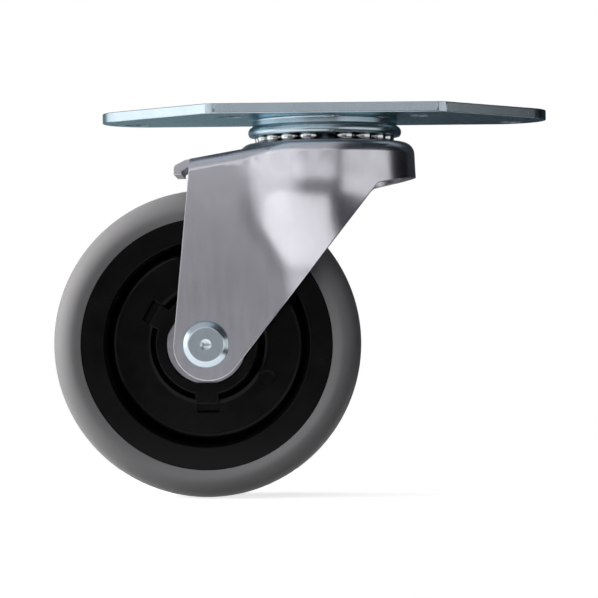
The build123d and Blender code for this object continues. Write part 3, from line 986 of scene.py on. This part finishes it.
class CASTOR_OT_studio(bpy.types.Operator):
    """Set up the floor, the lights and the camera"""

    bl_idname = "castor.studio"
    bl_label = "Studio"

    def execute(self, context):
        studio = context.scene.castor_studio
        self.add_floor(studio)
        self.add_lights(studio)
        self.add_room(studio)
        self.add_camera(studio)
        return {"FINISHED"}

    def add_floor(self, studio):
        """A sheet of paper that takes the castor's shadow, and a black flag at the
        right that only the castor sees."""
        floor_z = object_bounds()[0].z
        floor_corners = [(x, y, floor_z) for x, y in FLOOR_PLAN]
        for name, corners, material, in_view in (
            ("floor", floor_corners, self.pale_paper(studio), True),
            ("flag", FLAG_CORNERS, black_velvet("black_velvet_flag"), False),
        ):
            mesh = bpy.data.meshes.new(name)
            mesh.from_pydata(corners, [], [range(len(corners))])
            mesh.materials.append(material)
            sheet = bpy.data.objects.new(name, mesh)
            SCENE.collection.objects.link(sheet)
            sheet.visible_camera = in_view
            sheet.visible_transmission = in_view
            sheet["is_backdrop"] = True

    def pale_paper(self, studio):
        """Pale matt paper with the castor's shadow on it. Camera and metal see it as
        white, other rays see a dark floor, and from behind it can be seen through."""
        material, tree, output = new_material("pale_studio_paper")
        seen = self.backdrop_share(tree, level_in_metal=1.0)
        dark, pale = (*studio.room_back, 1), (*studio.floor_colour, 1)
        tone = mix_colours(tree, seen, dark, pale)
        paper = add_node(tree, "ShaderNodeBsdfDiffuse", {"Color": tone})
        level = calculate(tree, "MULTIPLY", seen, studio.floor_glow)
        glow = add_node(tree, "ShaderNodeEmission", {"Strength": level})
        both = add_node(
            tree,
            "ShaderNodeAddShader",
            {0: glow.outputs["Emission"], 1: paper.outputs["BSDF"]},
        )
        one_sided = add_node(
            tree,
            "ShaderNodeMixShader",
            {
                0: add_node(tree, "ShaderNodeNewGeometry").outputs["Backfacing"],
                1: both.outputs["Shader"],
                2: add_node(tree, "ShaderNodeBsdfTransparent").outputs["BSDF"],
            },
        )
        tree.links.new(one_sided.outputs["Shader"], output.inputs["Surface"])
        return material

    def backdrop_share(self, tree, level_in_metal, fade=1.0):
        """How much of the white backdrop a ray sees: all of it for the camera and
        through glass, and the faded level for a ray that metal mirrors. Other rays see
        none of it."""
        path = add_node(tree, "ShaderNodeLightPath").outputs
        seen = calculate(
            tree, "MAXIMUM", path["Is Camera Ray"], path["Is Transmission Ray"]
        )
        in_metal = calculate(tree, "MULTIPLY", path["Is Glossy Ray"], level_in_metal)
        in_metal = calculate(tree, "MULTIPLY", in_metal, fade)
        return calculate(tree, "MAXIMUM", seen, in_metal)

    def add_lights(self, studio):
        """A key light and soft boxes at the left, a strip light over the lens and a
        card at the right. Each is a nest of sheets of light, so that its edge fades."""
        for name, setting, turn, rise, distance, wide, tall, fade, matt, metal in LAMPS:
            level = getattr(studio, setting)
            away = Vector((sin(radians(turn)), -cos(radians(turn)), 0))
            away *= cos(radians(rise))
            away.z = sin(radians(rise))
            for step in range(LAMP_SHEETS):
                share = 1 - step * fade
                lamp = bpy.data.lights.new(name, "AREA")
                lamp.shape = "RECTANGLE"
                lamp.size = wide * share
                lamp.size_y = tall * share
                lamp.energy = level / LAMP_SHEETS * pi * lamp.size * lamp.size_y
                light = bpy.data.objects.new(name, lamp)
                light.visible_diffuse = matt
                light.visible_glossy = metal
                reach = distance - step * SHEET_GAP
                light.location = Vector(LAMPS_FACE) + away * reach
                light.rotation_euler = (-away).to_track_quat("-Z", "Y").to_euler()
                SCENE.collection.objects.link(light)

    def add_room(self, studio):
        """The room that surfaces see: lighter above, darker beyond the castor and at
        its right. The camera sees the white backdrop in every direction, and metal
        sees it straight behind the castor."""
        world = bpy.data.worlds.new("studio")
        world.use_nodes = True
        tree = world.node_tree
        tree.nodes.clear()
        direction = add_node(tree, "ShaderNodeTexCoord").outputs["Generated"]
        parts = add_node(tree, "ShaderNodeSeparateXYZ", {"Vector": direction}).outputs

        def ramp(axis, start, end):
            """Rises softly from 0 to 1 between two places along an axis."""
            return add_node(
                tree,
                "ShaderNodeMapRange",
                {"Value": parts[axis], "From Min": start, "From Max": end},
                interpolation_type="SMOOTHSTEP",
            ).outputs["Result"]

        high, low = (*studio.room_high, 1), (*studio.room_low, 1)
        dark = (*studio.room_back, 1)
        walls = mix_colours(tree, ramp(*TO_CEILING), low, high)
        walls = mix_colours(tree, ramp(*TO_GROUND), walls, dark)
        walls = mix_colours(tree, ramp(*TO_RIGHT), walls, dark)
        beyond = mix_colours(tree, ramp(*TO_LEFT), dark, low)
        walls = mix_colours(tree, ramp(*TO_BEYOND), walls, beyond)
        straight_on = calculate(
            tree, "MULTIPLY", ramp(*STRAIGHT_ON), ramp(*STRAIGHT_ON_LEFT)
        )
        share = self.backdrop_share(tree, studio.backdrop_in_metal, straight_on)
        sky = mix_colours(tree, share, walls, (*WHITE, 1))
        light = add_node(tree, "ShaderNodeBackground", {"Color": sky}).outputs
        add_node(tree, "ShaderNodeOutputWorld", {"Surface": light["Background"]})
        SCENE.world = world

    def add_camera(self, studio):
        """The photograph's view: level, square to the wheel, just below the plate."""
        lens = bpy.data.cameras.new("camera")
        lens.lens = studio.focal_length
        lens.sensor_width = SENSOR_MM
        camera = bpy.data.objects.new("camera", lens)
        camera.location = (CAMERA_X, -studio.camera_distance, CAMERA_Z)
        camera.rotation_euler = Euler((radians(90), radians(CAMERA_ROLL), 0), "XYZ")
        SCENE.collection.objects.link(camera)
        SCENE.camera = camera
        SCENE.view_settings.view_transform = "Standard"


class CASTOR_PT_panel(bpy.types.Panel):
    """The castor's settings and steps, in the sidebar"""

    bl_idname = "CASTOR_PT_panel"
    bl_label = "Swivel castor"
    bl_space_type = "VIEW_3D"
    bl_region_type = "UI"
    bl_category = "Castor"

    def draw(self, context):
        layout = self.layout
        for group in ("castor_sizes", "castor_finish", "castor_studio"):
            box = layout.box()
            settings = getattr(context.scene, group)
            for name in settings.__annotations__:
                box.prop(settings, name)
        for step in STEPS:
            layout.operator(step.bl_idname)


STEPS = (
    CASTOR_OT_plate,
    CASTOR_OT_swivel_balls,
    CASTOR_OT_fork,
    CASTOR_OT_axle,
    CASTOR_OT_core,
    CASTOR_OT_tyre,
    CASTOR_OT_bearings,
    CASTOR_OT_studio,
)
GROUPS = (
    ("castor_finish", CastorFinish),
    ("castor_sizes", CastorSizes),
    ("castor_studio", StudioSettings),
)


def register():
    for name, group in GROUPS:
        bpy.utils.register_class(group)
        setattr(bpy.types.Scene, name, PointerProperty(type=group))
    for step in STEPS:
        bpy.utils.register_class(step)
    bpy.utils.register_class(CASTOR_PT_panel)


def unregister():
    bpy.utils.unregister_class(CASTOR_PT_panel)
    for step in reversed(STEPS):
        bpy.utils.unregister_class(step)
    for name, group in reversed(GROUPS):
        delattr(bpy.types.Scene, name)
        bpy.utils.unregister_class(group)


def main():
    """Register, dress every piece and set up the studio."""
    register()
    for step in STEPS:
        group, name = step.bl_idname.split(".")
        getattr(getattr(bpy.ops, group), name)()


if __name__ == "__main__":
    main()
